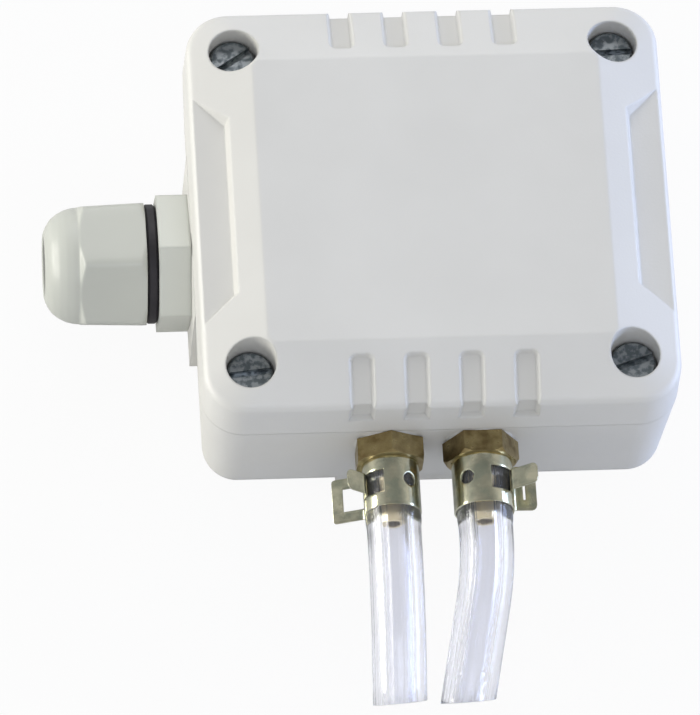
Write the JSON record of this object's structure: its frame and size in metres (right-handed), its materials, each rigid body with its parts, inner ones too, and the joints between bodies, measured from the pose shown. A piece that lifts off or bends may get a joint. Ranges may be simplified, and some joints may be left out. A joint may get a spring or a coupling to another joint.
{
  "type": "air flow sensor",
  "caption": "Air flow sensor in a light grey wall housing with bevelled screwed cover, cable gland, and brass hose nipples with clear hose stubs in spring clamps.",
  "frame": {"origin": "centre of the flat back (wall) face of the housing", "axes": "+Z out of the cover's front, -X towards the cable gland, -Y towards the hoses"},
  "size_m": [0.0948, 0.1079, 0.0355],
  "materials": {
    "housing_plastic": "fine satin moulded ABS, light grey",
    "seal_rubber": "black elastomer",
    "zinc_steel": "blue-grey zinc plated steel",
    "gland_nylon": "light grey nylon, slight gloss",
    "aged_brass": "aged turned brass",
    "yellow_zinc_steel": "yellow passivated zinc spring steel",
    "clear_pvc": "clear soft PVC",
    "silicone": "translucent silicone rubber",
    "board_laminate": "green solder mask on glass fibre laminate",
    "sensor_plastic": "black glass filled nylon",
    "terminal_plastic": "green moulded nylon",
    "plated_brass": "tin plated brass",
    "trimmer_plastic": "blue moulded plastic",
    "rotor_plastic": "off-white plastic",
    "chip_resin": "black moulding resin",
    "can_aluminium": "bare aluminium can",
    "led_resin": "green clear resin",
    "resistor_body": "black glazed ceramic chips"
  },
  "bodies": {
    "housing": {"base": "housing_plastic", "board_screw_1": "zinc_steel", "board_screw_2": "zinc_steel", "board_screw_3": "zinc_steel", "board_screw_4": "zinc_steel", "capacitors": "can_aluminium", "circuit_board": "board_laminate", "clamp_left": "yellow_zinc_steel", "clamp_right": "yellow_zinc_steel", "controller_chip": "chip_resin", "flow_sensor": "sensor_plastic", "gland_body": "gland_nylon", "gland_ring": "seal_rubber", "gland_seal": "seal_rubber", "hose_left": "clear_pvc", "hose_right": "clear_pvc", "inner_tube_left": "silicone", "inner_tube_right": "silicone", "nipple_left": "aged_brass", "nipple_nut_left": "aged_brass", "nipple_nut_right": "aged_brass", "nipple_right": "aged_brass", "resistors": "resistor_body", "status_led": "led_resin", "terminal_block": "terminal_plastic", "terminal_cages": "plated_brass", "test_header": "chip_resin", "trimmer_body": "trimmer_plastic", "voltage_regulator": "chip_resin"},
    "lid": {"cover": "housing_plastic", "cover_gasket": "seal_rubber"},
    "lid_screw_1": {"cover_screw_1": "zinc_steel"},
    "lid_screw_2": {"cover_screw_2": "zinc_steel"},
    "lid_screw_3": {"cover_screw_3": "zinc_steel"},
    "lid_screw_4": {"cover_screw_4": "zinc_steel"},
    "dome_nut": {"gland_nut": "gland_nylon"},
    "wire_screw_1": {"terminal_screw_1": "plated_brass"},
    "wire_screw_2": {"terminal_screw_2": "plated_brass"},
    "wire_screw_3": {"terminal_screw_3": "plated_brass"},
    "wire_screw_4": {"terminal_screw_4": "plated_brass"},
    "trimmer_dial": {"trimmer_rotor": "rotor_plastic"}
  },
  "joints": [
    {"name": "cover_lift", "type": "slide", "parent": "housing", "child": "lid", "axis": [0, 0, 1], "range_m": [0, 0.04]},
    {"name": "cover_screw_1_turn", "type": "hinge", "parent": "lid", "child": "lid_screw_1", "pos_m": [-0.029, 0.0261, 0.0299], "axis": [0, 0, 1], "continuous": true},
    {"name": "cover_screw_2_turn", "type": "hinge", "parent": "lid", "child": "lid_screw_2", "pos_m": [0.029, 0.0261, 0.0299], "axis": [0, 0, 1], "continuous": true},
    {"name": "cover_screw_3_turn", "type": "hinge", "parent": "lid", "child": "lid_screw_3", "pos_m": [-0.029, -0.0261, 0.0299], "axis": [0, 0, 1], "continuous": true},
    {"name": "cover_screw_4_turn", "type": "hinge", "parent": "lid", "child": "lid_screw_4", "pos_m": [0.029, -0.0261, 0.0299], "axis": [0, 0, 1], "continuous": true},
    {"name": "gland_nut_turn", "type": "hinge", "parent": "housing", "child": "dome_nut", "pos_m": [-0.0463, 0, 0.0135], "axis": [-1, 0, 0], "continuous": true},
    {"name": "terminal_screw_1_turn", "type": "hinge", "parent": "housing", "child": "wire_screw_1", "pos_m": [-0.0188, -0.00525, 0.015], "axis": [0, 0, 1], "continuous": true},
    {"name": "terminal_screw_2_turn", "type": "hinge", "parent": "housing", "child": "wire_screw_2", "pos_m": [-0.0188, -0.00175, 0.015], "axis": [0, 0, 1], "continuous": true},
    {"name": "terminal_screw_3_turn", "type": "hinge", "parent": "housing", "child": "wire_screw_3", "pos_m": [-0.0188, 0.00175, 0.015], "axis": [0, 0, 1], "continuous": true},
    {"name": "terminal_screw_4_turn", "type": "hinge", "parent": "housing", "child": "wire_screw_4", "pos_m": [-0.0188, 0.00525, 0.015], "axis": [0, 0, 1], "continuous": true},
    {"name": "trimmer_turn", "type": "hinge", "parent": "housing", "child": "trimmer_dial", "pos_m": [0.0145, 0.0105, 0.0115], "axis": [0, 0, 1], "range_deg": [-135, 135]}
  ]
}
